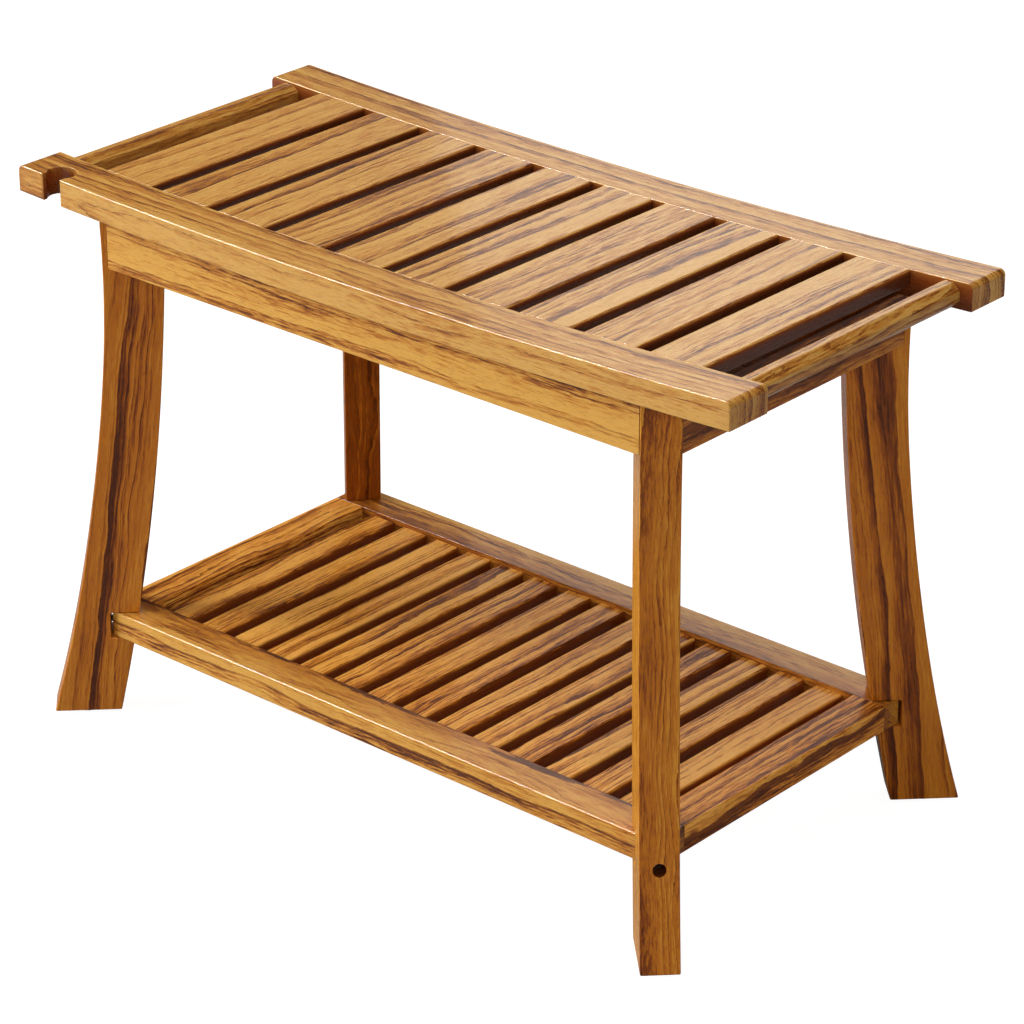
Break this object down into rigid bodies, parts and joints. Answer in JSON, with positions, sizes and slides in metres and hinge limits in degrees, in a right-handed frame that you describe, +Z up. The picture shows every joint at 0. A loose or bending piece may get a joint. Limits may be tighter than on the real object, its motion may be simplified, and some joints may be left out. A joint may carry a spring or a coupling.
{
  "type": "shower bench",
  "caption": "Slatted teak shower bench with a gently curved seat, a grip bar at each end, a hook notch, flared corner legs and a slatted lower shelf.",
  "frame": {"origin": "on the floor, under the middle of the seat", "axes": "+Z up, +X along the bench to its right end as one faces the front with the hook notch at the left, +Y from the front to the back"},
  "size_m": [0.71, 0.39, 0.4598],
  "materials": {
    "teak": "satin lacquered teak",
    "dowel_wood": "plain beech dowel",
    "stainless_steel": "plain stainless steel",
    "nylon": "matte"
  },
  "bodies": {
    "root": {"front_rail": "teak", "back_rail": "teak", "grip_bar_left": "teak", "grip_bar_right": "teak", "seat_slat_01": "teak", "seat_slat_02": "teak", "seat_slat_03": "teak", "seat_slat_04": "teak", "seat_slat_05": "teak", "seat_slat_06": "teak", "seat_slat_07": "teak", "seat_slat_08": "teak", "seat_slat_09": "teak", "seat_slat_10": "teak", "front_apron": "teak", "back_apron": "teak", "left_apron": "teak", "right_apron": "teak", "leg_front_left": "teak", "leg_front_right": "teak", "leg_back_left": "teak", "leg_back_right": "teak", "shelf_front_rail": "teak", "shelf_back_rail": "teak", "shelf_left_rail": "teak", "shelf_right_rail": "teak", "shelf_slat_01": "teak", "shelf_slat_02": "teak", "shelf_slat_03": "teak", "shelf_slat_04": "teak", "shelf_slat_05": "teak", "shelf_slat_06": "teak", "shelf_slat_07": "teak", "shelf_slat_08": "teak", "shelf_slat_09": "teak", "shelf_slat_10": "teak", "shelf_slat_11": "teak", "shelf_slat_12": "teak", "shelf_slat_13": "teak", "shelf_slat_14": "teak", "corner_block_front_left": "teak", "corner_block_front_right": "teak", "corner_block_back_left": "teak", "corner_block_back_right": "teak", "seat_dowels": "dowel_wood", "apron_dowels": "dowel_wood", "shelf_slat_dowels": "dowel_wood", "shelf_frame_dowels": "dowel_wood", "hanger_bolts": "stainless_steel", "hanger_washers": "stainless_steel", "hanger_nuts": "stainless_steel", "block_screws": "stainless_steel", "shelf_bolts": "stainless_steel", "shelf_inserts": "stainless_steel", "foot_glide_front_left": "nylon", "foot_glide_front_right": "nylon", "foot_glide_back_left": "nylon", "foot_glide_back_right": "nylon"}
  },
  "joints": []
}
